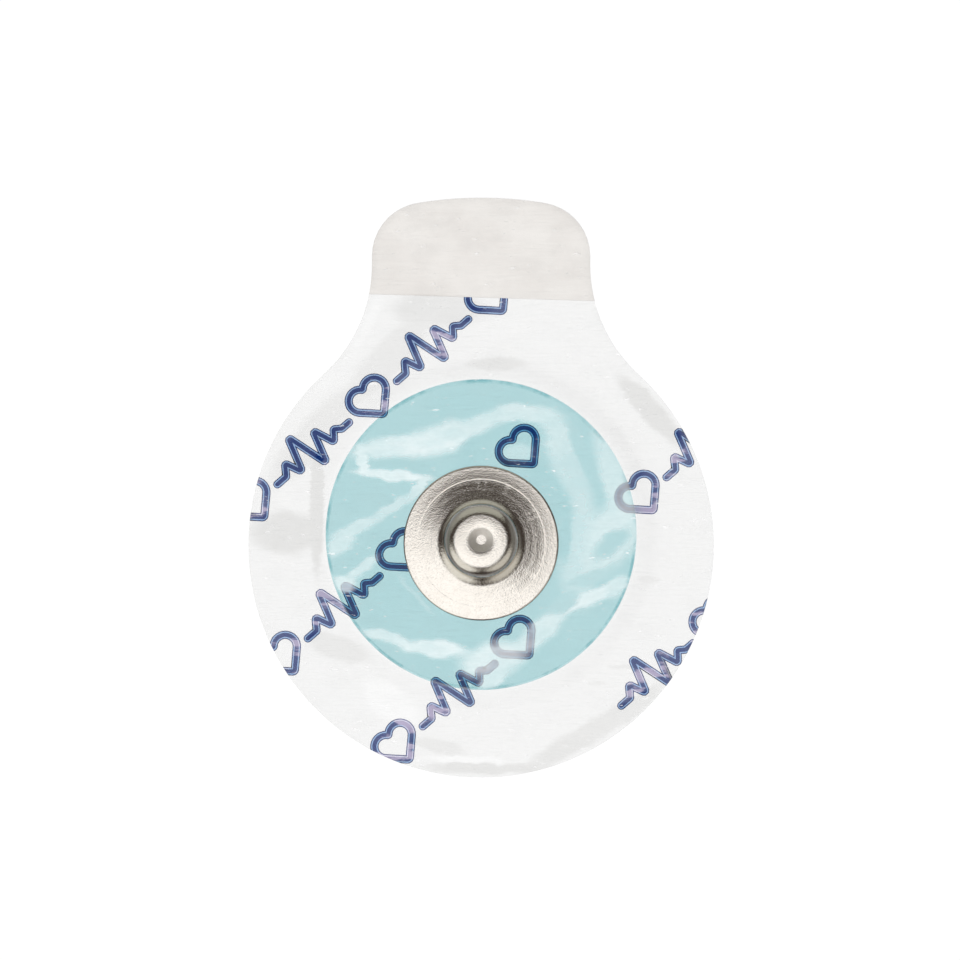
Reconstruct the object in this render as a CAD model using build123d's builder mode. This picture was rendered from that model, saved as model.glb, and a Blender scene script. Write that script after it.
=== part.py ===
from math import cos, radians, sin, sqrt
import os

from build123d import *

# A small snap electrode for heart monitoring, lying on its release liner.
# Millimetres. The origin is on the snap's axis, at the liner's underside.
# +Z points up along the snap, and +Y from the round pad to the lift tab.

# Gel disc, laid a little towards the tab
gel_diameter = 16.0
gel_thickness = 0.90
gel_offset = 0.50
gel_edge_chamfer = 0.20

# Die-cut outline, shared by the tape and the liner: a pad 24 mm wide, 30 mm long with its tab
adhesive_border = 4.0
tab_length = 6.0
tab_width = 11.3
tab_end_radius = 20.0
tab_corner_radius = 2.8
flank_radius = 7.7

# Films, and the strip that keeps fingers off the tab's adhesive
liner_thickness = 0.10
tape_thickness = 0.12
strip_thickness = 0.08
strip_length = 5.15
strip_slant = 2.3
film_clearance = 0.05

# Where the tape leaves the gel's rim and comes down on the liner
skirt_shoulder = 0.30
skirt_run = 0.90

# Where the tape climbs over the edge of the strip
step_run = 0.35
step_bend = 0.30

# Snap stud, pressed from one round of sheet: its head
stud_sheet = 0.28
head_diameter = 3.9
head_depth = 0.95
head_undercut = 0.25
head_taper = 0.35
head_bend = 0.30
crown_bend = 0.45
dimple_diameter = 1.30
dimple_depth = 0.12
dimple_slope = 0.35

# Snap stud: its neck and flange, which rises from the rim to a round shoulder
neck_length = 0.60
foot_bend = 0.38
flange_diameter = 8.0
flange_bend = 0.25
foot_rise = 0.32
shoulder_rise = 0.20
rim_width = 0.70
rim_land = 0.22

# Sensor eyelet, riveted up inside the stud
eyelet_diameter = 7.8
eyelet_thickness = 0.40
eyelet_edge_chamfer = 0.12
rivet_clearance = 0.07
rivet_edge_chamfer = 0.18
hole_clearance = 0.15

# Sizes that follow from the outline's values
pad_radius = gel_diameter / 2 + adhesive_border
tab_half = tab_width / 2
tab_end = pad_radius + tab_length
strip_edge = tab_end - strip_length

# Heights of the stack, from the liner up
gel_top = liner_thickness + gel_thickness
stud_seat = gel_top + tape_thickness

# The middle line of the stud's sheet
half_sheet = stud_sheet / 2
head_line = head_diameter / 2 - half_sheet
neck_line = head_line - head_undercut
rim_line = flange_diameter / 2
shoulder_line = rim_line - rim_width
dimple_line = dimple_diameter / 2
seat_height = stud_seat + half_sheet
neck_foot = seat_height + foot_rise
neck_top = neck_foot + neck_length
head_foot = neck_top + head_taper
crown_height = head_foot + head_depth
dimple_height = crown_height - dimple_depth

# The eyelet's post and rivet head, which fill the stud from inside
post_radius = neck_line - half_sheet - rivet_clearance
rivet_radius = head_line - half_sheet - rivet_clearance
rivet_foot = head_foot + rivet_clearance
rivet_top = dimple_height - half_sheet - rivet_clearance

# The strip's edge runs across the tab with a slight slant
slant = radians(strip_slant)
along_tab = (sin(slant), cos(slant), 0)
across_tab = (cos(slant), -sin(slant), 0)


def tab_section(distance):
    """The upright plane along the tab, with its origin on the middle line at that distance."""
    return Plane(origin=(0, distance, 0), x_dir=along_tab, z_dir=across_tab)


def tab_cut(distance):
    """The upright plane across the tab at that distance, facing the tab's end."""
    return Plane(origin=(0, distance, 0), z_dir=along_tab)


# The outline: a disc and a round-ended tab, blended by hollow flanks.
# A flank's radius is limited by the straight side of the tab that it runs into.
end_centre = tab_end - tab_end_radius
tab_shoulder = end_centre + sqrt(tab_end_radius**2 - tab_half**2)
side_top = end_centre + sqrt((tab_end_radius - tab_corner_radius) ** 2 - (tab_half - tab_corner_radius) ** 2)
flank_room = (side_top**2 - pad_radius**2 + tab_half**2) / (2 * (pad_radius - tab_half))

with BuildSketch() as outline:
    Circle(pad_radius)
    with BuildLine():
        Polyline((-tab_half, tab_shoulder), (-tab_half, 0), (tab_half, 0), (tab_half, tab_shoulder))
        ThreePointArc((tab_half, tab_shoulder), (0, tab_end), (-tab_half, tab_shoulder))
    make_face()
    fillet(outline.vertices().sort_by(Axis.Y)[-4:-2], min(flank_radius, flank_room - film_clearance))
    fillet(outline.vertices().sort_by(Axis.Y)[-2:], tab_corner_radius)

# Release liner: clear film under the whole electrode
with BuildPart() as release_liner:
    add(outline.sketch)
    extrude(amount=liner_thickness)

# Lift tab: a strip of film on the liner, under the tape's tab
with BuildPart() as lift_tab:
    with BuildSketch(Plane.XY.offset(liner_thickness)):
        add(outline.sketch)
    extrude(amount=strip_thickness)
    split(bisect_by=tab_cut(strip_edge), keep=Keep.TOP)

# Gel pad: soft rim, and a bed in its upper face that the eyelet's flange lies in
with BuildPart() as gel_pad:
    with BuildSketch(Plane.XY.offset(liner_thickness)):
        with Locations((0, gel_offset)):
            Circle(gel_diameter / 2)
    extrude(amount=gel_thickness)
    chamfer(gel_pad.edges().group_by(Axis.Z)[-1], min(gel_edge_chamfer, gel_thickness / 2))
    with BuildSketch(Plane.XY.offset(gel_top)):
        Circle(eyelet_diameter / 2 + film_clearance)
    extrude(amount=-eyelet_thickness, mode=Mode.SUBTRACT)

# Carrier tape: flat over the gel, down a skirt round its rim, flat on the liner
# and one step up over the strip, then cut to the outline and punched for the post
tape_on_liner = liner_thickness + tape_thickness / 2
tape_on_strip = tape_on_liner + strip_thickness
tape_on_gel = gel_top + tape_thickness / 2
skirt_top = gel_diameter / 2 + skirt_shoulder
step_foot = film_clearance + step_run
web_half = tab_end + pad_radius

with BuildPart() as carrier_tape:
    with BuildSketch(Plane.XZ.offset(-gel_offset)):
        with BuildLine():
            Polyline(
                (0, tape_on_gel),
                (skirt_top, tape_on_gel),
                (skirt_top + skirt_run, tape_on_liner),
                (web_half, tape_on_liner),
            )
        trace(line_width=tape_thickness)
    revolve(axis=Axis((0, gel_offset, 0), (0, 0, 1)))
    split(bisect_by=tab_cut(strip_edge - step_foot - step_bend), keep=Keep.BOTTOM)
    with BuildSketch(tab_section(strip_edge)):
        with BuildLine():
            FilletPolyline(
                (-step_foot - step_bend, tape_on_liner),
                (-step_foot, tape_on_liner),
                (-film_clearance, tape_on_strip),
                (web_half, tape_on_strip),
                radius=step_bend,
            )
        trace(line_width=tape_thickness)
    extrude(amount=web_half, both=True)
    with BuildSketch():
        add(outline.sketch)
    extrude(amount=stud_seat + tape_thickness, mode=Mode.INTERSECT)
    with BuildSketch(Plane.XY.offset(gel_top)):
        Circle(post_radius + hole_clearance)
    extrude(amount=tape_thickness, mode=Mode.SUBTRACT)

# Snap stud: the sheet's middle line from the dimple in the crown out to the rim,
# thickened to the sheet and spun round
with BuildPart() as snap_stud:
    with BuildSketch(Plane.XZ):
        with BuildLine():
            FilletPolyline(
                (0, dimple_height),
                (dimple_line - dimple_slope, dimple_height),
                (dimple_line, crown_height),
                (head_line, crown_height),
                (head_line, head_foot),
                (neck_line, neck_top),
                (neck_line, neck_foot),
                (shoulder_line, seat_height + shoulder_rise),
                (rim_line - rim_land, seat_height),
                (rim_line, seat_height),
                radius=(0, 0, crown_bend, head_bend, head_bend, foot_bend, flange_bend, flange_bend),
            )
        trace(line_width=stud_sheet)
    revolve(axis=Axis.Z)

# Sensor eyelet: a flange under the tape, a post through it and a rivet head in the stud's head
with BuildPart() as sensor_eyelet:
    with BuildSketch(Plane.XY.offset(gel_top - eyelet_thickness)):
        Circle(eyelet_diameter / 2)
    extrude(amount=eyelet_thickness)
    chamfer(sensor_eyelet.edges().group_by(Axis.Z)[0], eyelet_edge_chamfer)
    with BuildSketch(Plane.XY.offset(gel_top)):
        Circle(post_radius)
    extrude(amount=rivet_top - gel_top)
    with BuildSketch(Plane.XY.offset(rivet_foot)):
        Circle(rivet_radius)
    extrude(amount=rivet_top - rivet_foot)
    chamfer(sensor_eyelet.edges().group_by(Axis.Z)[-1], rivet_edge_chamfer)

os.makedirs("parts", exist_ok=True)
carrier_tape.part.label = "carrier_tape"
lift_tab.part.label = "lift_tab"
gel_pad.part.label = "gel_pad"
release_liner.part.label = "release_liner"
sensor_eyelet.part.label = "sensor_eyelet"
snap_stud.part.label = "snap_stud"
for piece in (carrier_tape, lift_tab, gel_pad, release_liner, sensor_eyelet, snap_stud):
    export_step(piece.part, f"parts/{piece.part.label}.step")
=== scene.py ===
import math

import bpy
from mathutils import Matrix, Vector


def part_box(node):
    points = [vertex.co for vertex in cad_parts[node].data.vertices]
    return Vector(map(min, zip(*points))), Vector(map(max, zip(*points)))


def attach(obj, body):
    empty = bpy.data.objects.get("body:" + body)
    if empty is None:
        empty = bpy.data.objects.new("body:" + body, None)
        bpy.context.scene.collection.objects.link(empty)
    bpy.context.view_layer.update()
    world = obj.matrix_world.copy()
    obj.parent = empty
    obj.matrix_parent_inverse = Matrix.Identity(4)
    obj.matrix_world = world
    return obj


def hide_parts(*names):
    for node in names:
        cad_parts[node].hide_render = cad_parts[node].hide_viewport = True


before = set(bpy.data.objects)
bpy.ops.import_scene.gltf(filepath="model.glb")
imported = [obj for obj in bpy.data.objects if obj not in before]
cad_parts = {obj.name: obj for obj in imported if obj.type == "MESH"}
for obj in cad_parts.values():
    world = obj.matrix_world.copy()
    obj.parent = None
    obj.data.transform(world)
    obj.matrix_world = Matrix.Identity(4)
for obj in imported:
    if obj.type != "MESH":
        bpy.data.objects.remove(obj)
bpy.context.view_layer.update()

# Release liner: one piece of clear, glossy film that the whole electrode lies on until it is used.
# It is die cut in one stroke with the tape, as a round pad with a blunt tab, so both share one outline.
mm = 0.001
air = 0.004 * mm
liner_low, liner_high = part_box("release_liner")
pad_radius = liner_high.x
tab_end = liner_high.y
tab_half = 5.65 * mm
tab_end_radius = 20 * mm
tab_corner_radius = 2.8 * mm
flank_radius = 7.7 * mm

end_centre = tab_end - tab_end_radius
corner_x = tab_half - tab_corner_radius
corner_y = end_centre + math.sqrt((tab_end_radius - tab_corner_radius) ** 2 - corner_x**2)
flank_x = tab_half + flank_radius
flank_y = math.sqrt((pad_radius + flank_radius) ** 2 - flank_x**2)
end_turn = math.atan2(corner_x, corner_y - end_centre)
flank_turn = math.atan2(flank_y, flank_x)


def start_wire(name, place):
    """A new piece that is one vertex so far, selected in edit mode."""
    bpy.ops.object.select_all(action="DESELECT")
    bpy.ops.mesh.primitive_plane_add(size=mm)
    piece = bpy.context.object
    piece.name = name
    bpy.ops.object.mode_set(mode="EDIT")
    bpy.ops.mesh.merge(type="CENTER")
    bpy.ops.transform.translate(value=place)
    return piece


def draw_to(step):
    """The wire goes on by one straight edge."""
    bpy.ops.mesh.extrude_vertices_move(TRANSFORM_OT_translate={"value": step})


def draw_arc(x, y, turn, steps):
    """The wire goes on round a centre, clockwise where the turn is positive."""
    bpy.ops.mesh.spin(steps=steps, angle=turn, center=(x, y, 0), axis=(0, 0, 1))


def trace_outline(name, height):
    """The die's outline as a closed loop of edges, drawn on the right and mirrored to the left."""
    piece = start_wire(name, (0, tab_end, height))
    draw_arc(0, end_centre, end_turn, 12)
    draw_arc(corner_x, corner_y, math.pi / 2 - end_turn, 9)
    draw_to((0, flank_y - corner_y, 0))
    draw_arc(flank_x, flank_y, -flank_turn, 17)
    draw_arc(0, 0, flank_turn + math.pi / 2, 123)
    bpy.ops.object.mode_set(mode="OBJECT")
    mirror = piece.modifiers.new("left half", "MIRROR")
    mirror.merge_threshold = 0.01 * mm
    bpy.ops.object.modifier_apply(modifier=mirror.name)
    return piece


def cut_sheet(name, height, thickness):
    """A sheet of that thickness, cut to the outline, left in edit mode with all of it selected."""
    piece = trace_outline(name, height)
    bpy.ops.object.mode_set(mode="EDIT")
    bpy.ops.mesh.select_all(action="SELECT")
    bpy.ops.mesh.edge_face_add()
    bpy.ops.mesh.extrude_region_move(TRANSFORM_OT_translate={"value": (0, 0, thickness)})
    bpy.ops.mesh.select_all(action="SELECT")
    return piece


def finish_mesh(piece, angle=40):
    """Merges what the spin doubled, turns the faces outwards and shades the piece."""
    bpy.ops.object.mode_set(mode="EDIT")
    bpy.ops.mesh.select_all(action="SELECT")
    bpy.ops.mesh.remove_doubles(threshold=0.001 * mm)
    bpy.ops.mesh.normals_make_consistent(inside=False)
    bpy.ops.object.mode_set(mode="OBJECT")
    bpy.ops.object.shade_smooth_by_angle(angle=math.radians(angle))


def new_material(name):
    """A material with only its output node."""
    material = bpy.data.materials.new(name)
    material.use_nodes = True
    material.node_tree.nodes.clear()
    output = material.node_tree.nodes.new("ShaderNodeOutputMaterial")
    return material, material.node_tree, output.inputs[0]


def put(tree, target, value):
    """Links a socket to the target, or sets a plain value on it."""
    if isinstance(value, bpy.types.NodeSocket):
        tree.links.new(value, target)
    else:
        target.default_value = value


def millimetres(tree, stretch=(1, 1, 1)):
    """Object coordinates in millimetres, with each axis multiplied by its stretch."""
    place = tree.nodes.new("ShaderNodeTexCoord")
    scale = tree.nodes.new("ShaderNodeMapping")
    scale.inputs["Scale"].default_value = Vector(stretch) / mm
    tree.links.new(place.outputs["Object"], scale.inputs["Vector"])
    return scale.outputs[0]


def noise(tree, place, scale, detail=3.0, roughness=0.5):
    """Noise at a scale in repeats per unit of the place."""
    node = tree.nodes.new("ShaderNodeTexNoise")
    put(tree, node.inputs["Vector"], place)
    node.inputs["Scale"].default_value = scale
    node.inputs["Detail"].default_value = detail
    node.inputs["Roughness"].default_value = roughness
    return node.outputs["Fac"]


def ramp(tree, value, low, high, to_low=0.0, to_high=1.0):
    """A soft step from to_low to to_high as the value goes from low to high."""
    node = tree.nodes.new("ShaderNodeMapRange")
    node.interpolation_type = "SMOOTHSTEP"
    for target, number in zip(node.inputs[:5], (value, low, high, to_low, to_high)):
        put(tree, target, number)
    return node.outputs[0]


def mix_shader(tree, factor, first, second):
    """A blend of two shaders."""
    node = tree.nodes.new("ShaderNodeMixShader")
    put(tree, node.inputs[0], factor)
    put(tree, node.inputs[1], first)
    put(tree, node.inputs[2], second)
    return node.outputs[0]


def clear(tree, colour):
    """Plain see-through of one colour."""
    node = tree.nodes.new("ShaderNodeBsdfTransparent")
    put(tree, node.inputs["Color"], colour)
    return node.outputs[0]


def principled(tree, **values):
    """The main shader, with its sockets set by name."""
    node = tree.nodes.new("ShaderNodeBsdfPrincipled")
    for name, value in values.items():
        put(tree, node.inputs[name.replace("_", " ")], value)
    return node.outputs[0]


def liner_film():
    """Clear film that loses a little light, with a faint haze of fine scuffs from the web."""
    material, tree, surface = new_material("liner film")
    scuffs = noise(tree, millimetres(tree, (0.4, 3.0, 1)), 2.0, 5.0, 0.6)
    shine = principled(tree, Base_Color=(0.9, 0.92, 0.93, 1), Roughness=ramp(tree, scuffs, 0.3, 0.7, 0.12, 0.3))
    haze = ramp(tree, scuffs, 0.5, 0.8, 0.01, 0.05)
    put(tree, surface, mix_shader(tree, haze, clear(tree, (0.962, 0.962, 0.962, 1)), shine))
    return material


liner = cut_sheet("liner", 0, liner_high.z - 2 * air)
finish_mesh(liner, 30)
liner.data.materials.append(liner_film())
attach(liner, "root")
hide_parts("release_liner")

# Liner print: rows of hearts and heartbeat traces in dark blue ink on the liner's upper face, seen through
# the tape and the gel. Each stroke has a dark contour, a fine light line and a fill, as flexo print has.
row_slant = math.radians(41)
print_height = liner_high.z - air
stroke_thickness = 0.0012 * mm
motif_gap = 0.55 * mm

# The middle lines of the two motifs, in millimetres along the row and above its foot
beat_line = ((0, 0.85), (0.6, 0.85), (1.0, 1.4), (1.4, 0.5), (2.0, 2.35), (2.65, 0.0))
beat_line += ((3.2, 1.75), (3.65, 0.6), (4.05, 1.1), (4.4, 0.85), (4.9, 0.85))
lobe_place = Vector((0.48, 1.30))
lobe_radius = 0.60
lobe_steps = 16

# Rows of the print, in millimetres: distance of the row's foot from the stud's axis, where the row starts
# and ends along itself, and whether a heart comes first
print_rows = ((8.4, -8.6, 9.2, True), (1.35, -12.62, 5.0, True), (-5.95, -11.12, -1.5, True))
print_rows += ((-4.5, 6.8, 13.0, True), (-11.85, 0.0, 7.5, False))


def rounded(points, radii, closed=False, cuts=6):
    """The points of a line, with an arc of its own radius in place of each corner that has one."""
    path = []
    for index, (corner, radius) in enumerate(zip(points, radii)):
        if radius == 0:
            path.append(corner)
            continue
        into = (points[index - 1] - corner).normalized()
        away = (points[(index + 1) % len(points)] - corner).normalized()
        half = into.angle(away) / 2
        centre = corner + (into + away).normalized() * radius / math.sin(half)
        first = (corner + into * radius / math.tan(half) - centre).normalized()
        last = (corner + away * radius / math.tan(half) - centre).normalized()
        path += [centre + first.slerp(last, cut / cuts) * radius for cut in range(cuts + 1)]
    return path


def heart_line():
    """A plain heart: two round lobes that meet in a notch, and straight sides down to a point."""
    notch = math.atan2(math.sqrt(lobe_radius**2 - lobe_place.x**2), -lobe_place.x)
    reach = math.acos(lobe_radius / lobe_place.length)
    side = math.atan2(-lobe_place.y, -lobe_place.x) + reach
    right = []
    for step in range(lobe_steps + 1):
        turn = notch + (side - notch) * step / lobe_steps
        right.append(lobe_place + Vector((math.cos(turn), math.sin(turn))) * lobe_radius)
    left = [Vector((-point.x, point.y)) for point in reversed(right[1:])]
    points = right + [Vector((0, 0))] + left
    radii = [0.0] * len(points)
    radii[0] = 0.05
    radii[lobe_steps + 1] = 0.10
    width = lobe_place.x + lobe_radius
    return [point + Vector((width, 0)) for point in rounded(points, radii, True, 3)]


def beat_trace():
    """One heartbeat: a small wave, a sharp spike down and up, and a rounder wave."""
    points = [Vector(point) for point in beat_line]
    radii = [0.0] + [0.06] * (len(points) - 2) + [0.0]
    return rounded(points, radii, False, 3)


def row_strokes():
    """The strokes of all rows in metres, each with whether it is closed."""
    along = Vector((math.cos(row_slant), math.sin(row_slant))) * mm
    up = Vector((-math.sin(row_slant), math.cos(row_slant))) * mm
    strokes = []
    for foot, place, end, heart in print_rows:
        while place < end:
            line = heart_line() if heart else beat_trace()
            strokes.append(([along * (place + p.x) + up * (foot + p.y) for p in line], heart))
            place += max(p.x for p in line) + motif_gap / mm
            heart = not heart
    return strokes


def draw_stroke(curve, points, closed, half_width):
    """One stroke of even width, with round ends, as a spline of the curve."""
    radii = [1.0] * len(points)
    if not closed:
        for end, inner in ((0, 1), (-1, -2)):
            out = (points[end] - points[inner]).normalized() * half_width
            cap = [(points[end] + out * s, math.sqrt(1 - s * s)) for s in (0.3, 0.6, 0.85, 1.0)]
            if end == 0:
                points = [place for place, radius in reversed(cap)] + points
                radii = [radius for place, radius in reversed(cap)] + radii
            else:
                points = points + [place for place, radius in cap]
                radii = radii + [radius for place, radius in cap]
    spline = curve.splines.new("POLY")
    spline.points.add(len(points) - 1)
    spline.use_cyclic_u = closed
    for point, place, radius in zip(spline.points, points, radii):
        point.co = (place.x, place.y, 0, 1)
        point.radius = radius


def maths(tree, operation, first, second=0.0, third=0.0):
    """One step of arithmetic on sockets or numbers."""
    node = tree.nodes.new("ShaderNodeMath")
    node.operation = operation
    for target, value in zip(node.inputs, (first, second, third)):
        put(tree, target, value)
    return node.outputs[0]


def mix_value(tree, factor, first, second):
    """A blend of two values."""
    node = tree.nodes.new("ShaderNodeMix")
    for name, value in (("Factor", factor), ("A", first), ("B", second)):
        put(tree, node.inputs[name], value)
    return node.outputs["Result"]


def mix_colour(tree, factor, first, second):
    """A blend of two colours."""
    node = tree.nodes.new("ShaderNodeMix")
    node.data_type = "RGBA"
    for target, value in zip((node.inputs[0], node.inputs[6], node.inputs[7]), (factor, first, second)):
        put(tree, target, value)
    return node.outputs[2]


def distance_from(tree, place, centre):
    """Distance of a place from a centre, both in millimetres."""
    node = tree.nodes.new("ShaderNodeVectorMath")
    node.operation = "DISTANCE"
    put(tree, node.inputs[0], place)
    node.inputs[1].default_value = centre
    return node.outputs["Value"]


# Where the adhesive has wetted out: patches over the pad, each with its middle, half length, half width,
# turn in degrees, and how tight the film lies there, from 0, lifted and whitish, to 1, tight and clear.
# Later patches lie over earlier ones.
border_patches = (
    # left side, upper left, upper right
    (-10.0, 0.6, 1.9, 1.1, 0, 1.0),
    (-8.45, 2.0, 0.35, 3.4, 0, 1.2),
    (-8.6, 5.6, 3.4, 0.9, 48, 0.75),
    (-4.8, 9.6, 3.2, 0.9, 48, 0.75),
    (-2.2, 12.2, 2.4, 0.9, 0, 0.85),
    (8.7, 7.0, 2.3, 0.55, -48, 1.1),
    (0.8, 9.3, 1.5, 0.35, 0, 0.9),
    (-7.6, 8.8, 1.6, 0.3, 42, 0.2),
    (-6.0, 11.4, 1.6, 0.4, 62, 0.1),
    (-1.7, 9.4, 0.7, 0.4, -30, 0.3),
    (2.6, 10.9, 2.6, 0.7, -10, 0.25),
    # lower left and bottom
    (-7.4, -5.3, 1.7, 0.6, -18, 0.8),
    (-4.6, -8.2, 1.6, 0.8, -35, 0.0),
    (-2.2, -10.4, 1.4, 0.35, -12, 0.7),
    (5.4, -9.8, 3.6, 0.55, 30, 0.85),
    (8.2, -8.2, 1.5, 0.4, 44, 0.8),
    (0.3, -11.5, 3.1, 0.32, 0, 0.95),
    (-0.8, -11.1, 2.2, 0.2, -3, 0.0),
    (8.6, -1.85, 0.6, 0.12, 0, 0.6),
    (7.2, -6.3, 0.6, 0.16, 0, 0.6),
    (6.0, -7.2, 0.5, 0.12, 0, 0.6),
)
gel_patches = (
    # the band that sweeps over the stud from the left rim to the right
    (-4.6, 5.0, 2.1, 0.52, 8, 0.25),
    (-2.2, 5.35, 2.0, 0.75, 14, 0.1),
    (0.2, 6.2, 2.2, 0.5, 16, 0.35),
    (2.4, 6.7, 1.8, 0.42, -4, 0.38),
    (4.1, 5.2, 1.7, 0.8, -60, 0.40),
    (4.7, 2.0, 3.2, 1.1, -84, 0.56),
    (4.9, -1.0, 2.2, 0.9, -86, 0.56),
    (7.0, 3.0, 3.2, 0.75, -74, 0.42),
    (6.6, 0.4, 1.9, 1.2, 60, 0.32),
    # the angle at the left of the stud
    (-6.1, 4.2, 0.7, 0.3, 100, 0.15),
    (-4.5, 3.5, 1.9, 0.24, -6, 0.05),
    (-3.2, 2.8, 0.8, 0.25, 50, 0.3),
    (-4.6, 1.8, 1.5, 0.28, 30, 0.5),
    (-6.4, 0.8, 1.2, 0.32, 25, 0.4),
    (-7.2, 0.0, 0.8, 0.5, 35, 0.4),
    (-6.1, -1.3, 0.9, 0.28, 40, 0.35),
    (-7.1, -2.1, 0.6, 0.4, -10, 0.15),
    (-3.4, -2.6, 1.3, 0.14, -48, 0.75),
    # the streak below the stud
    (-4.8, -4.85, 1.5, 0.3, -14, 0.3),
    (-2.4, -5.4, 1.7, 0.42, -6, 0.05),
    (0.6, -6.0, 1.6, 0.85, 14, 0.15),
    (0.6, -7.0, 0.8, 0.4, 40, 0.3),
    (3.1, -4.5, 1.7, 0.55, 42, 0.3),
    (5.6, -2.8, 1.7, 0.36, 24, 0.2),
    (7.0, -2.2, 0.7, 0.45, 40, 0.35),
    # tight islands over them
    (6.7, 0.0, 1.15, 0.5, 38, 0.9),
    (5.6, -1.8, 1.5, 0.3, 18, 0.8),
    (5.3, 4.4, 2.1, 0.32, -66, 0.9),
    (3.6, 2.5, 1.6, 0.75, -60, 1.05),
    (4.3, 0.2, 1.3, 0.35, -95, 1.0),
    (2.0, 5.7, 1.4, 0.5, -8, 1.0),
    (1.9, 4.7, 0.7, 0.4, 10, 0.6),
    (-0.2, 4.9, 1.5, 0.6, 35, 1.0),
    (4.2, -3.1, 0.9, 0.4, 30, 0.85),
)

# How tight the film lies outside the patches on the border, over the gel and on the strip, and how softly
# the patches end, as a share of their size
border_tight = 0.29
gel_tight = 0.95
strip_tight = 0.25
border_softness = 0.3
gel_softness = 0.42

gel_low, gel_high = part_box("gel_pad")
gel_centre = (gel_low + gel_high) / 2
gel_radius = (gel_high.x - gel_low.x) / 2
strip_edge = 12.85 * mm
strip_slant = math.radians(2.3)
strip_along = Vector((math.sin(strip_slant), math.cos(strip_slant), 0))


def swayed(tree):
    """The place in millimetres, moved about so that the edges of patches wander and fray along X."""
    comb = noise(tree, millimetres(tree, (0.35, 4.2, 0)), 1.0, 3.0, 0.6)
    drift = noise(tree, millimetres(tree, (0.9, 1.1, 0)), 1.0, 2.0, 0.5)
    sway = tree.nodes.new("ShaderNodeCombineXYZ")
    put(tree, sway.inputs["X"], maths(tree, "MULTIPLY_ADD", comb, 0.6, -0.3))
    put(tree, sway.inputs["Y"], maths(tree, "MULTIPLY_ADD", drift, 0.6, -0.3))
    moved = tree.nodes.new("ShaderNodeVectorMath")
    moved.operation = "ADD"
    put(tree, moved.inputs[0], millimetres(tree, (1, 1, 0)))
    put(tree, moved.inputs[1], sway.outputs[0])
    return moved.outputs[0]


def lay_patches(tree, place, patches, value, softness):
    """A value that starts even, and takes each patch's own value inside that patch."""
    for x, y, half_length, half_width, turn, tight in patches:
        inside = tree.nodes.new("ShaderNodeMapping")
        inside.vector_type = "TEXTURE"
        inside.inputs["Location"].default_value = (x, y, 0)
        inside.inputs["Rotation"].default_value = (0, 0, math.radians(turn))
        inside.inputs["Scale"].default_value = (half_length, half_width, 1)
        put(tree, inside.inputs["Vector"], place)
        reach = distance_from(tree, inside.outputs[0], (0, 0, 0))
        value = mix_value(tree, ramp(tree, reach, 1 + softness, 1 - softness), value, tight)
    return value


def wet_out_group():
    """How tight the film lies at each place, shared by the tape and by the ink under it."""
    tree = bpy.data.node_groups.new("wet out", "ShaderNodeTree")
    tree.interface.new_socket("tight", in_out="OUTPUT", socket_type="NodeSocketFloat")
    output = tree.nodes.new("NodeGroupOutput")
    place = swayed(tree)
    tight = lay_patches(tree, place, border_patches, border_tight, border_softness)
    over_gel = lay_patches(tree, place, gel_patches, gel_tight, gel_softness)
    plain = millimetres(tree, (1, 1, 0))
    from_gel = distance_from(tree, plain, (0, gel_centre.y / mm, 0))
    tight = mix_value(tree, ramp(tree, from_gel, 8.05, 7.9), tight, over_gel)
    along = tree.nodes.new("ShaderNodeVectorMath")
    along.operation = "DOT_PRODUCT"
    put(tree, along.inputs[0], plain)
    along.inputs[1].default_value = strip_along
    on_strip = ramp(tree, along.outputs["Value"], strip_edge / mm - 0.15, strip_edge / mm + 0.05)
    put(tree, output.inputs[0], mix_value(tree, on_strip, tight, strip_tight))
    return tree


wet_out = wet_out_group()


def ink(name, wet, hazed):
    """Flexo ink, dark where the film above lies tight on it, and painted pale where that has lifted, for the
    haze of light that the lifted film scatters over it.
    """
    material, tree, surface = new_material(name)
    tight = tree.nodes.new("ShaderNodeGroup")
    tight.node_tree = wet_out
    blots = noise(tree, millimetres(tree, (0.5, 1.6, 1)), 0.9, 4.0, 0.6)
    contact = ramp(tree, maths(tree, "MULTIPLY_ADD", tight.outputs[0], 0.5, blots), 0.56, 0.66)
    grain = noise(tree, millimetres(tree), 14.0, 3.0, 0.7)
    # Painted haze: the ink turns pale where the film above has lifted.
    colour = mix_colour(tree, contact, hazed, wet)
    colour = mix_colour(tree, ramp(tree, grain, 0.5, 0.8, 0.0, 0.25), colour, (0.12, 0.18, 0.42, 1))
    put(tree, surface, principled(tree, Base_Color=colour, Roughness=0.5, Specular_IOR_Level=0.0))
    return material


cutter = cut_sheet("die", -mm, 2 * mm)
finish_mesh(cutter)
printed = []
strokes = row_strokes()
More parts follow.
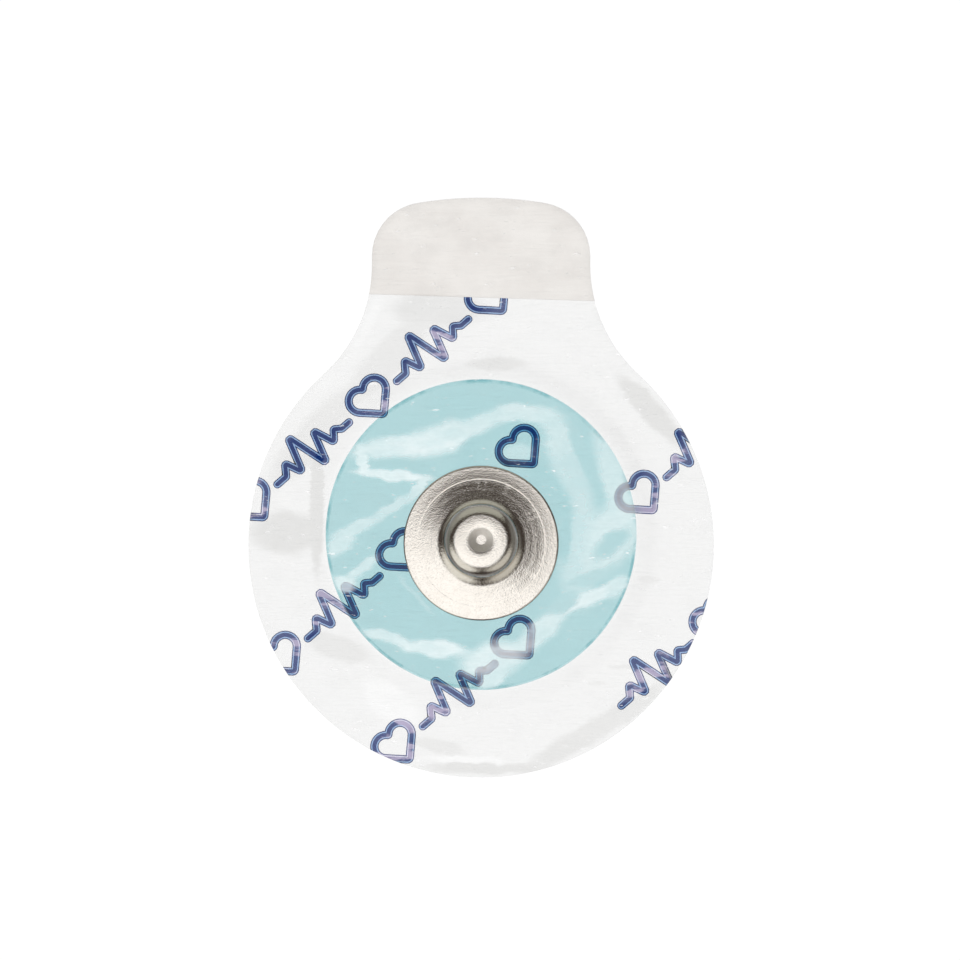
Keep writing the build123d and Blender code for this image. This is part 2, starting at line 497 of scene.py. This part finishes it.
# The levels of a stroke, each a little higher than the last: name, half width, height in layers, and the ink's
# colour where the film lies tight on it and where that has lifted, the second painted pale for the haze of light
# the lifted film scatters
stroke_levels = (
    ("print_contour", 0.215 * mm, 1, (0.003, 0.022, 0.14, 1), (0.03, 0.045, 0.21, 1)),
    ("print_inline", 0.187 * mm, 2, (0.30, 0.46, 0.74, 1), (0.68, 0.66, 0.82, 1)),
    ("print_fill", 0.148 * mm, 3, (0.004, 0.030, 0.17, 1), (0.40, 0.35, 0.52, 1)),
)
for level, half_width, layers, wet, hazed in stroke_levels:
    curve = bpy.data.curves.new(level, "CURVE")
    curve.dimensions = "3D"
    curve.bevel_depth = half_width
    curve.bevel_resolution = 0
    for points, closed in strokes:
        draw_stroke(curve, points, closed, half_width)
    layer = bpy.data.objects.new(level, curve)
    bpy.context.collection.objects.link(layer)
    bpy.ops.object.select_all(action="DESELECT")
    layer.select_set(True)
    bpy.context.view_layer.objects.active = layer
    bpy.ops.object.convert(target="MESH")
    layer = bpy.context.object
    finish_mesh(layer)
    trim = layer.modifiers.new("die", "BOOLEAN")
    trim.operation = "INTERSECT"
    trim.solver = "EXACT"
    trim.object = cutter
    trim.use_self = True
    bpy.ops.object.modifier_apply(modifier=trim.name)
    bpy.ops.object.mode_set(mode="EDIT")
    bpy.ops.mesh.select_all(action="SELECT")
    flat = layers * stroke_thickness / half_width / 2
    bpy.ops.transform.resize(value=(1, 1, flat), center_override=(0, 0, 0))
    bpy.ops.transform.translate(value=(0, 0, print_height))
    bpy.ops.object.mode_set(mode="OBJECT")
    layer.data.materials.clear()
    layer.data.materials.append(ink(level, wet, hazed))
    printed.append(layer)
bpy.data.objects.remove(cutter)
bpy.ops.object.select_all(action="DESELECT")
for layer in printed:
    layer.select_set(True)
bpy.context.view_layer.objects.active = printed[0]
bpy.ops.object.join()
liner_print = bpy.context.object
liner_print.name = "liner_print"
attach(liner_print, "root")

# Lift tab: a strip of warm-white film laid on the liner before the tape, so that the tape's tab has
# no tack and can be lifted. It is cut with the outline, and its inner edge runs slightly aslant.
strip_low, strip_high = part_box("lift_tab")


def bump(tree, height, strength, distance):
    """A bump whose distance is in millimetres."""
    node = tree.nodes.new("ShaderNodeBump")
    node.inputs["Strength"].default_value = strength
    node.inputs["Distance"].default_value = distance * mm
    put(tree, node.inputs["Height"], height)
    return node.outputs[0]


def strip_film():
    """Warm-white polyester, faintly cloudy, with fine lines from the web."""
    material, tree, surface = new_material("strip film")
    clouds = noise(tree, millimetres(tree), 0.35, 3.0, 0.5)
    lines = noise(tree, millimetres(tree, (0.25, 5.0, 1)), 1.4, 4.0, 0.6)
    blend = maths(tree, "MULTIPLY_ADD", clouds, 0.7, maths(tree, "MULTIPLY", lines, 0.3))
    colour = mix_colour(tree, ramp(tree, blend, 0.35, 0.65), (0.765, 0.735, 0.71, 1), (0.83, 0.805, 0.78, 1))
    put(tree, surface, principled(tree, Base_Color=colour, Roughness=0.5, Normal=bump(tree, lines, 0.2, 0.01)))
    return material


strip = cut_sheet("lift_strip", liner_high.z, strip_high.z - strip_low.z - air)
bpy.ops.mesh.bisect(plane_co=(0, strip_edge, 0), plane_no=strip_along, use_fill=True, clear_inner=True)
finish_mesh(strip, 30)
strip.data.materials.append(strip_film())
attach(strip, "root")
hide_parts("lift_tab")

# Gel pad: a round of soft teal hydrogel, cast on the liner, with a bed pressed in its face by the eyelet.
# It is clear enough for the print below to show, and a thin darker line of painted shade runs round its rim.
bed_radius = 3.95 * mm
bed_depth = 0.40 * mm


def hydrogel():
    """Clear teal gel: most light passes with a tint, and a little comes back from inside; a thin darker tint at
    the rim is painted shade.
    """
    material, tree, surface = new_material("hydrogel")
    clouds = noise(tree, millimetres(tree), 0.3, 2.0, 0.5)
    waver = noise(tree, millimetres(tree, (1, 1, 0)), 0.55, 3.0, 0.6)
    off_centre = distance_from(tree, millimetres(tree, (1, 1, 0)), (0, gel_centre.y / mm, 0))
    # Painted shade: a thin, wavering darker tint just inside the rim.
    line = maths(tree, "MULTIPLY", ramp(tree, off_centre, 7.80, 7.93), ramp(tree, waver, 0.42, 0.6, 0.15, 1.0))
    tint = mix_colour(tree, ramp(tree, clouds, 0.3, 0.7), (0.724, 0.899, 0.918, 1), (0.742, 0.908, 0.926, 1))
    tint = mix_colour(tree, line, tint, (0.50, 0.75, 0.78, 1))
    body = principled(tree, Base_Color=(0.35, 0.75, 0.79, 1), Roughness=0.22)
    put(tree, surface, mix_shader(tree, 0.01, clear(tree, tint), body))
    return material


def spin_section(name, corners, radii, middle, steps, cuts=6):
    """A round piece, spun from its section: each corner's distance from the axis, height and rounding."""
    path = rounded([Vector(corner) for corner in corners], radii, False, cuts)
    piece = start_wire(name, (path[0].x, middle, path[0].y))
    for here, there in zip(path, path[1:]):
        draw_to((there.x - here.x, 0, there.y - here.y))
    bpy.ops.mesh.select_all(action="SELECT")
    draw_arc(0, middle, 2 * math.pi, steps)
    finish_mesh(piece)
    return piece


gel_section = (
    (0, gel_high.z - bed_depth),
    (bed_radius, gel_high.z - bed_depth),
    (bed_radius, gel_high.z),
    (gel_radius, gel_high.z),
    (gel_radius, liner_high.z + air),
    (0, liner_high.z + air),
)
gel_roundings = (0, 0, 0, 0.16 * mm, 0.05 * mm, 0)
gel = spin_section("gel", gel_section, gel_roundings, gel_centre.y, 192)
gel.data.materials.append(hydrogel())
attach(gel, "root")
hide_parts("gel_pad")

# Sensor eyelet: a moulded plastic rivet coated with silver and silver chloride. Its flange lies in the gel
# under the tape, and its post goes up through the tape and is headed over inside the stud.
eyelet_low, eyelet_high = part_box("sensor_eyelet")
eyelet_radius = (eyelet_high.x - eyelet_low.x) / 2 - 0.01 * mm
post_radius = 1.34 * mm
rivet_radius = 1.59 * mm
rivet_foot = 2.61 * mm


def sensor_coating():
    """Matt grey silver chloride with a fine, sooty grain."""
    material, tree, surface = new_material("sensor coating")
    grain = noise(tree, millimetres(tree), 9.0, 5.0, 0.7)
    clouds = noise(tree, millimetres(tree), 0.8, 3.0, 0.5)
    blend = maths(tree, "MULTIPLY_ADD", grain, 0.5, maths(tree, "MULTIPLY", clouds, 0.5))
    colour = mix_colour(tree, ramp(tree, blend, 0.3, 0.7), (0.13, 0.12, 0.115, 1), (0.36, 0.35, 0.34, 1))
    rough = ramp(tree, grain, 0.3, 0.7, 0.5, 0.75)
    grained = bump(tree, grain, 0.4, 0.01)
    put(tree, surface, principled(tree, Base_Color=colour, Metallic=0.35, Roughness=rough, Normal=grained))
    return material


eyelet_section = (
    (0, eyelet_low.z + air / 2),
    (eyelet_radius, eyelet_low.z + air / 2),
    (eyelet_radius, gel_high.z - air),
    (post_radius, gel_high.z - air),
    (post_radius, rivet_foot),
    (rivet_radius, rivet_foot),
    (rivet_radius, eyelet_high.z),
    (0, eyelet_high.z),
)
eyelet_roundings = (0, 0.12 * mm, 0.03 * mm, 0, 0, 0, 0.18 * mm, 0)
eyelet = spin_section("eyelet", eyelet_section, eyelet_roundings, 0, 96)
eyelet.data.materials.append(sensor_coating())
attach(eyelet, "root")
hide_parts("sensor_eyelet")

# Carrier tape: thin translucent film with adhesive below. It lies over the gel, comes down round its rim
# in a short skirt, sticks flat to the liner and climbs one small step on to the strip under its tab.

# The skirt's rings, by distance from the gel's middle and height, and the step's lines, by distance from the
# strip's edge and the share of the step that the tape climbs there. Both are in millimetres.
tape_thickness = 0.115 * mm
# The edge line and edge band are rings inset from the outline that carry the painted shade along the cut edge;
# the line's ring takes this share of it.
edge_line = 0.06 * mm
edge_band = 0.40 * mm
edge_line_share = 0.86
skirt_line = ((9.35, 0.0), (9.20, 0.006), (9.05, 0.045), (8.92, 0.13), (8.80, 0.25), (8.68, 0.40), (8.56, 0.56))
skirt_line += ((8.45, 0.70), (8.34, 0.81), (8.22, 0.875), (8.10, 0.898), (7.90, 0.9))
flat_rings = (7.2, 6.5, 5.8, 5.1, 4.5)
hole_rings = (3.2, 2.2, 1.5)
step_lines = ((-0.42, 0.04), (-0.33, 0.16), (-0.24, 0.30), (-0.15, 0.30), (-0.06, 0.16), (0.03, 0.04))
ripple_height = 0.035 * mm
ripple_size = 2.2 * mm
ripple_start = 4.2


def select_where(piece, test):
    """Selects the vertices whose index and place pass the test."""
    bpy.ops.object.mode_set(mode="EDIT")
    bpy.ops.mesh.select_all(action="DESELECT")
    bpy.ops.object.mode_set(mode="OBJECT")
    for vertex in piece.data.vertices:
        vertex.select = test(vertex.index, vertex.co)
    bpy.ops.object.mode_set(mode="EDIT")


def ring_in(factor, shift, rise):
    """The selected ring goes on inwards by one more, scaled about the gel's middle, moved and raised."""
    bpy.ops.mesh.extrude_edges_move(TRANSFORM_OT_translate={"value": (0, 0, 0)})
    bpy.ops.transform.resize(value=(factor, factor, 1), center_override=(0, gel_centre.y, 0))
    bpy.ops.transform.translate(value=(0, shift, rise))


def tape_film():
    """Satin film: whitish where it has lifted, greyer where it lies tight, with flecks, and painted shade along
    its cut edge: a thin darker line all round and a band that is strongest on the tab.
    """
    material, tree, surface = new_material("tape film")
    tight = tree.nodes.new("ShaderNodeGroup")
    tight.node_tree = wet_out
    flecks = noise(tree, millimetres(tree, (1.5, 5.0, 0)), 1.0, 3.0, 0.55)
    clouds = noise(tree, millimetres(tree, (0.45, 0.8, 0)), 1.0, 4.0, 0.6)
    streaks = noise(tree, millimetres(tree, (0.5, 7.0, 0)), 1.0, 4.0, 0.65)
    rim_shade = tree.nodes.new("ShaderNodeAttribute")
    rim_shade.attribute_name = "rim_shade"
    from_gel = distance_from(tree, millimetres(tree, (1, 1, 0)), (0, gel_centre.y / mm, 0))
    full = ramp(tree, from_gel, 8.1, 7.9, 0.13, 0.54)
    lifted = maths(tree, "SUBTRACT", 1.0, tight.outputs[0])
    veil = maths(tree, "MULTIPLY", lifted, full)
    veil = maths(tree, "MULTIPLY", veil, ramp(tree, clouds, 0.3, 0.7, 0.8, 1.15))
    veil = maths(tree, "ADD", veil, maths(tree, "MULTIPLY", lifted, ramp(tree, streaks, 0.5, 0.8, 0.0, 0.07)))
    speck = maths(tree, "MULTIPLY", ramp(tree, flecks, 0.63, 0.70), ramp(tree, clouds, 0.42, 0.6, 0.03, 0.6))
    veil = maths(tree, "MAXIMUM", veil, speck)
    # Painted shade along the cut edge, read from the attribute on the edge rings: a band, faint on the pad and
    # full on the tab, and a thin line at the very edge. It darkens both the film's colour and the light through
    # it.
    band_shade = ramp(tree, rim_shade.outputs["Fac"], 0.0, 0.9, 0.0, 0.07)
    edge = ramp(tree, rim_shade.outputs["Fac"], edge_line_share, 1.0, 0.0, 0.09)
    from_foot = distance_from(tree, millimetres(tree, (0, 1, 0)), (0, -12, 0))
    painted_edge_shade = maths(tree, "MULTIPLY_ADD", band_shade, ramp(tree, from_foot, 20.5, 24.5, 0.12, 1.0), edge)
    colour = mix_colour(tree, painted_edge_shade, (0.97, 0.97, 0.967, 1), (0.45, 0.45, 0.45, 1))
    grey = maths(tree, "MULTIPLY", tight.outputs[0], ramp(tree, from_gel, 8.3, 7.9, 1.0, 0.2))
    loss = mix_colour(tree, grey, (1.0, 1.0, 1.0, 1), (0.854, 0.852, 0.845, 1))
    mottle = ramp(tree, clouds, 0.45, 0.7, 0.0, 0.075)
    mottle = maths(tree, "MAXIMUM", mottle, ramp(tree, streaks, 0.53, 0.72, 0.0, 0.085))
    loss = mix_colour(tree, maths(tree, "ADD", painted_edge_shade, mottle), loss, (0.6, 0.6, 0.6, 1))
    relief = bump(tree, maths(tree, "MULTIPLY_ADD", streaks, 0.5, flecks), 0.35, 0.02)
    film = principled(tree, Base_Color=colour, Roughness=0.42, Normal=relief)
    put(tree, surface, mix_shader(tree, veil, clear(tree, loss), film))
    return material


def tape_adhesive():
    """The tape's under face: clear tacky acrylic that hazes it slightly."""
    material, tree, surface = new_material("tape adhesive")
    ooze = noise(tree, millimetres(tree, (0.7, 1.4, 1)), 1.3, 3.0, 0.6)
    tack = principled(tree, Base_Color=(0.93, 0.93, 0.92, 1), Roughness=0.35, Normal=bump(tree, ooze, 0.3, 0.02))
    haze = ramp(tree, ooze, 0.4, 0.7, 0.0, 0.01)
    put(tree, surface, mix_shader(tree, haze, clear(tree, (0.995, 0.995, 0.993, 1)), tack))
    return material


tape = trace_outline("tape", liner_high.z + air)
around = len(tape.data.vertices)
bpy.ops.object.mode_set(mode="EDIT")
bpy.ops.mesh.select_all(action="SELECT")
bpy.ops.mesh.edge_face_add()
bpy.ops.mesh.inset(thickness=edge_line)
bpy.ops.mesh.inset(thickness=edge_band - edge_line)
bpy.ops.mesh.delete(type="ONLY_FACE")
# The rings are numbered outline, band, line and middle. The middle one is drawn higher, and all are made
# level once it is joined on, since rings in one plane can be bridged crosswise.
ring_place = (0, gel_centre.y, liner_high.z + air + 0.5 * mm)
bpy.ops.mesh.primitive_circle_add(vertices=around, radius=skirt_line[0][0] * mm, location=ring_place)
select_where(tape, lambda index, place: around <= index < 2 * around or index >= 3 * around)
bpy.ops.mesh.bridge_edge_loops(number_cuts=7, interpolation="LINEAR", smoothness=0)
bpy.ops.mesh.select_all(action="SELECT")
bpy.ops.transform.resize(value=(1, 1, 0), center_override=(0, 0, liner_high.z + air))
select_where(tape, lambda index, place: 3 * around <= index < 4 * around)
for (wide, low), (narrow, high) in zip(skirt_line, skirt_line[1:]):
    ring_in(narrow / wide, 0, (high - low) * mm)
for wide, narrow in zip((skirt_line[-1][0], *flat_rings), flat_rings):
    ring_in(narrow / wide, 0, 0)
ring_in(hole_rings[0] / flat_rings[-1], -gel_centre.y, 0)
for wide, narrow in zip(hole_rings, hole_rings[1:]):
    ring_in(narrow / wide, gel_centre.y * (narrow / wide - 1), 0)
for line, share in step_lines:
    bpy.ops.mesh.select_all(action="SELECT")
    bpy.ops.mesh.bisect(plane_co=(0, strip_edge + line * mm, 0), plane_no=strip_along)
for line, share in step_lines:
    edge = strip_edge * strip_along.y + (line - 0.001) * mm
    select_where(tape, lambda index, place: place.x * strip_along.x + place.y * strip_along.y > edge)
    bpy.ops.transform.translate(value=(0, 0, share * (strip_high.z - strip_low.z)))
bpy.ops.object.mode_set(mode="OBJECT")
# This attribute marks where shade is painted along the cut edge: full on the outline, the line's share on the
# line's ring, none further in.
rim_shade = tape.data.attributes.new("rim_shade", "FLOAT", "POINT")
for index in range(around):
    rim_shade.data[index].value = 1.0
    rim_shade.data[2 * around + index].value = edge_line_share
loose = tape.vertex_groups.new(name="loose")
for vertex in tape.data.vertices:
    off_stud = min(1, max(0, vertex.co.xy.length / mm - ripple_start))
    off_edge = 0 if vertex.index < 3 * around else 1
    loose.add([vertex.index], off_stud * off_edge, "REPLACE")
clouds = bpy.data.textures.new("ripples", "CLOUDS")
clouds.noise_scale = ripple_size
ripple = tape.modifiers.new("ripple", "DISPLACE")
ripple.texture = clouds
ripple.direction = "Z"
ripple.mid_level = 0.25
ripple.strength = ripple_height
ripple.vertex_group = loose.name
bpy.ops.object.modifier_apply(modifier=ripple.name)
finish_mesh(tape)
# An open sheet's faces may turn down, and the thickness goes on their upper side
if tape.data.polygons[0].normal.z < 0:
    tape.data.flip_normals()
depth = tape.modifiers.new("depth", "SOLIDIFY")
depth.thickness = tape_thickness
depth.offset = 1.0
bpy.ops.object.modifier_apply(modifier=depth.name)
finish_mesh(tape)
tape.data.materials.append(tape_film())
tape.data.materials.append(tape_adhesive())
for polygon in tape.data.polygons:
    polygon.material_index = int(polygon.normal.z < -0.3)
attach(tape, "root")
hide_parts("carrier_tape")

# Snap stud: nickel-plated brass, pressed from one round of sheet in a row of dies, so it is hollow.
# A dimple in the crown, a bulging head that the lead's spring grips, a neck, and a dished flange.

# The middle line of the sheet, by distance from the axis and height, and the rounding of each of its
# corners, in millimetres
stud_sheet = 0.28 * mm
edge_wear = 0.07 * mm
stud_line = (
    (0.0, 3.40),
    (0.27, 3.40),
    (0.70, 3.48),
    (1.81, 3.48),
    (1.81, 2.53),
    (1.56, 2.18),
    (1.56, 1.90),
    (1.70, 1.69),
    (2.00, 1.452),
    (3.245, 1.306),
    (3.30, 1.306),
    (3.86, 1.262),
    (3.985, 1.262),
)
stud_roundings = (0, 1.0, 1.2, 0.56, 0.20, 0.30, 0.25, 0.3, 0.95, 0.15, 0.15, 0, 0)


def nickel_plate():
    """Bright nickel with a fine grain, faint turning rings, a warm cast in its pits and a matt dimple."""
    material, tree, surface = new_material("nickel plate")
    grain = noise(tree, millimetres(tree), 11.0, 2.0, 0.8)
    clouds = noise(tree, millimetres(tree), 1.2, 3.0, 0.6)
    from_axis = distance_from(tree, millimetres(tree, (1, 1, 0)), (0, 0, 0))
    ring = tree.nodes.new("ShaderNodeCombineXYZ")
    put(tree, ring.inputs["X"], from_axis)
    rings = noise(tree, ring.outputs[0], 9.0, 3.0, 0.6)
    waves = noise(tree, ring.outputs[0], 1.7, 1.0, 0.5)
    pits = ramp(tree, grain, 0.25, 0.55, 0.35, 0.0)
    colour = mix_colour(tree, pits, (0.79, 0.755, 0.705, 1), (0.60, 0.53, 0.45, 1))
    colour = mix_colour(tree, ramp(tree, clouds, 0.4, 0.7, 0.0, 0.25), colour, (0.75, 0.71, 0.65, 1))
    rough = maths(tree, "ADD", ramp(tree, clouds, 0.3, 0.7, 0.11, 0.15), ramp(tree, grain, 0.3, 0.7, 0.04, 0.0))
    matt = maths(tree, "MULTIPLY", ramp(tree, from_axis, 0.72, 0.55), ramp(tree, from_axis, 0.18, 0.32))
    rough = maths(tree, "MULTIPLY_ADD", matt, 0.28, rough)
    height = maths(tree, "MULTIPLY_ADD", rings, 0.2, maths(tree, "MULTIPLY_ADD", waves, 1.4, grain))
    relief = bump(tree, height, 1.0, 0.008)
    put(tree, surface, principled(tree, Base_Color=colour, Metallic=1.0, Roughness=rough, Normal=relief))
    return material


stud_corners = [(radius * mm, height * mm) for radius, height in stud_line]
stud = spin_section("stud", stud_corners, [radius * mm for radius in stud_roundings], 0, 160, 7)
pressed = stud.modifiers.new("sheet", "SOLIDIFY")
pressed.thickness = stud_sheet
pressed.offset = 0
pressed.use_even_offset = True
bpy.ops.object.modifier_apply(modifier=pressed.name)
worn = stud.modifiers.new("cut edge", "BEVEL")
worn.width = edge_wear
worn.segments = 3
worn.limit_method = "ANGLE"
worn.angle_limit = math.radians(50)
bpy.ops.object.modifier_apply(modifier=worn.name)
finish_mesh(stud, 50)
stud.data.materials.append(nickel_plate())
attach(stud, "root")
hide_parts("snap_stud")

# Studio: a white floor that takes a soft shadow, one large soft lamp above and towards the viewer's left,
# an even world that is white to the camera, and a sky that only reflections see.

# What reflections see: windows of the sky, each by its direction, the angles in degrees from there at
# which it is full and gone, and its light, and a square one overhead, by the degrees to its sides
sky_base = (0.055, 0.044, 0.038, 1)
sky_windows = (
    (-0.6, 0.6, 0.3, 18, 32, (0.30, 0.30, 0.27, 1)),
    (0, 0.8, 0.35, 34, 43, (0.45, 0.455, 0.40, 1)),
    (0.8, 0.1, 0.15, 20, 38, (0.18, 0.175, 0.16, 1)),
    (-0.8, 0.1, 0.1, 14, 28, (0.20, 0.21, 0.19, 1)),
    (0.6, -0.6, 0.6, 18, 34, (0.66, 0.64, 0.58, 1)),
    (-0.6, -0.6, 0.6, 22, 35, (0.92, 0.91, 0.85, 1)),
)
overhead_sides = ((-22, 12.5), (-20, 9.6))
overhead_light = (1.34, 1.33, 1.32, 1)
overhead_softness = 1.7
world_light = (0.50, 0.50, 0.50, 1)
white = (1, 1, 1, 1)
lamp_place = Vector((-0.10, -0.12, 0.42))
lamp_side = 0.30
lamp_power = 1.65
floor_size = 0.8
floor_glow = 0.93
floor_glint = 0.16
floor_bounce = 0.50


def floor_paper():
    """White paper that glows, so that it stays white and lights what lies on it, and is clear from below."""
    material, tree, surface = new_material("floor")
    material.cycles.emission_sampling = "NONE"
    rays = tree.nodes.new("ShaderNodeLightPath")
    grain = noise(tree, millimetres(tree), 0.05, 2.0, 0.5)
    tone = ramp(tree, grain, 0.2, 0.8, 0.09, 0.10)
    glow = maths(tree, "MULTIPLY", rays.outputs["Is Camera Ray"], floor_glow)
    glow = maths(tree, "MULTIPLY_ADD", rays.outputs["Is Glossy Ray"], floor_glint, glow)
    glow = maths(tree, "MULTIPLY_ADD", rays.outputs["Is Diffuse Ray"], floor_bounce, glow)
    paper = principled(
        tree,
        Base_Color=tone,
        Roughness=1.0,
        Specular_IOR_Level=0.0,
        Emission_Color=white,
        Emission_Strength=glow,
    )
    behind = tree.nodes.new("ShaderNodeNewGeometry")
    put(tree, surface, mix_shader(tree, behind.outputs["Backfacing"], paper, clear(tree, white)))
    return material


bpy.ops.object.select_all(action="DESELECT")
bpy.ops.mesh.primitive_plane_add(size=floor_size, location=(0, 0, -0.02 * mm))
floor = bpy.context.object
floor.name = "floor"
floor.data.materials.append(floor_paper())

lamp_data = bpy.data.lights.new("softbox", "AREA")
lamp_data.shape = "RECTANGLE"
lamp_data.size = lamp_side
lamp_data.size_y = lamp_side
lamp_data.energy = lamp_power
lamp = bpy.data.objects.new("softbox", lamp_data)
lamp.location = lamp_place
lamp.rotation_mode = "QUATERNION"
lamp.rotation_quaternion = (-lamp_place).to_track_quat("-Z", "Y")
lamp.visible_glossy = False
bpy.context.collection.objects.link(lamp)

world = bpy.data.worlds.new("studio")
bpy.context.scene.world = world
world.use_nodes = True
sky = world.node_tree
sky.nodes.clear()
rays = sky.nodes.new("ShaderNodeLightPath")
direction = sky.nodes.new("ShaderNodeTexCoord")
mirror_light = sky_base
for aim_x, aim_y, aim_z, near, far, level in sky_windows:
    toward = sky.nodes.new("ShaderNodeVectorMath")
    toward.operation = "DOT_PRODUCT"
    put(sky, toward.inputs[0], direction.outputs["Generated"])
    toward.inputs[1].default_value = Vector((aim_x, aim_y, aim_z)).normalized()
    window = ramp(sky, toward.outputs["Value"], math.cos(math.radians(far)), math.cos(math.radians(near)))
    mirror_light = mix_colour(sky, window, mirror_light, level)
parts = sky.nodes.new("ShaderNodeSeparateXYZ")
put(sky, parts.inputs[0], direction.outputs["Generated"])
overhead = ramp(sky, parts.outputs[2], 0.5, 0.6)
for part, (low, high) in zip(parts.outputs, overhead_sides):
    lean = maths(sky, "DIVIDE", part, parts.outputs[2])
    for side, sign in ((low, 1), (high, -1)):
        outer = math.tan(math.radians(side - sign * overhead_softness))
        inner = math.tan(math.radians(side + sign * overhead_softness))
        overhead = maths(sky, "MULTIPLY", overhead, ramp(sky, lean, outer, inner))
mirror_light = mix_colour(sky, overhead, mirror_light, overhead_light)
light = mix_colour(sky, rays.outputs["Is Glossy Ray"], world_light, mirror_light)
light = mix_colour(sky, rays.outputs["Is Camera Ray"], light, white)
backdrop = sky.nodes.new("ShaderNodeBackground")
put(sky, backdrop.inputs["Color"], light)
sky_output = sky.nodes.new("ShaderNodeOutputWorld")
put(sky, sky_output.inputs[0], backdrop.outputs[0])

elevation = math.radians(85.5)
distance = 0.2744
aim = Vector((-0.055 * mm, 3.27 * mm, 1.0 * mm))
toward = Vector((0, -math.cos(elevation), math.sin(elevation)))
camera_data = bpy.data.cameras.new("camera")
camera_data.lens = 200
camera_data.sensor_width = 36
camera_data.clip_start = 0.01
camera = bpy.data.objects.new("camera", camera_data)
camera.location = aim + toward * distance
camera.rotation_mode = "QUATERNION"
camera.rotation_quaternion = (-toward).to_track_quat("-Z", "Y")
bpy.context.collection.objects.link(camera)
bpy.context.scene.camera = camera
bpy.context.scene.view_settings.view_transform = "Standard"
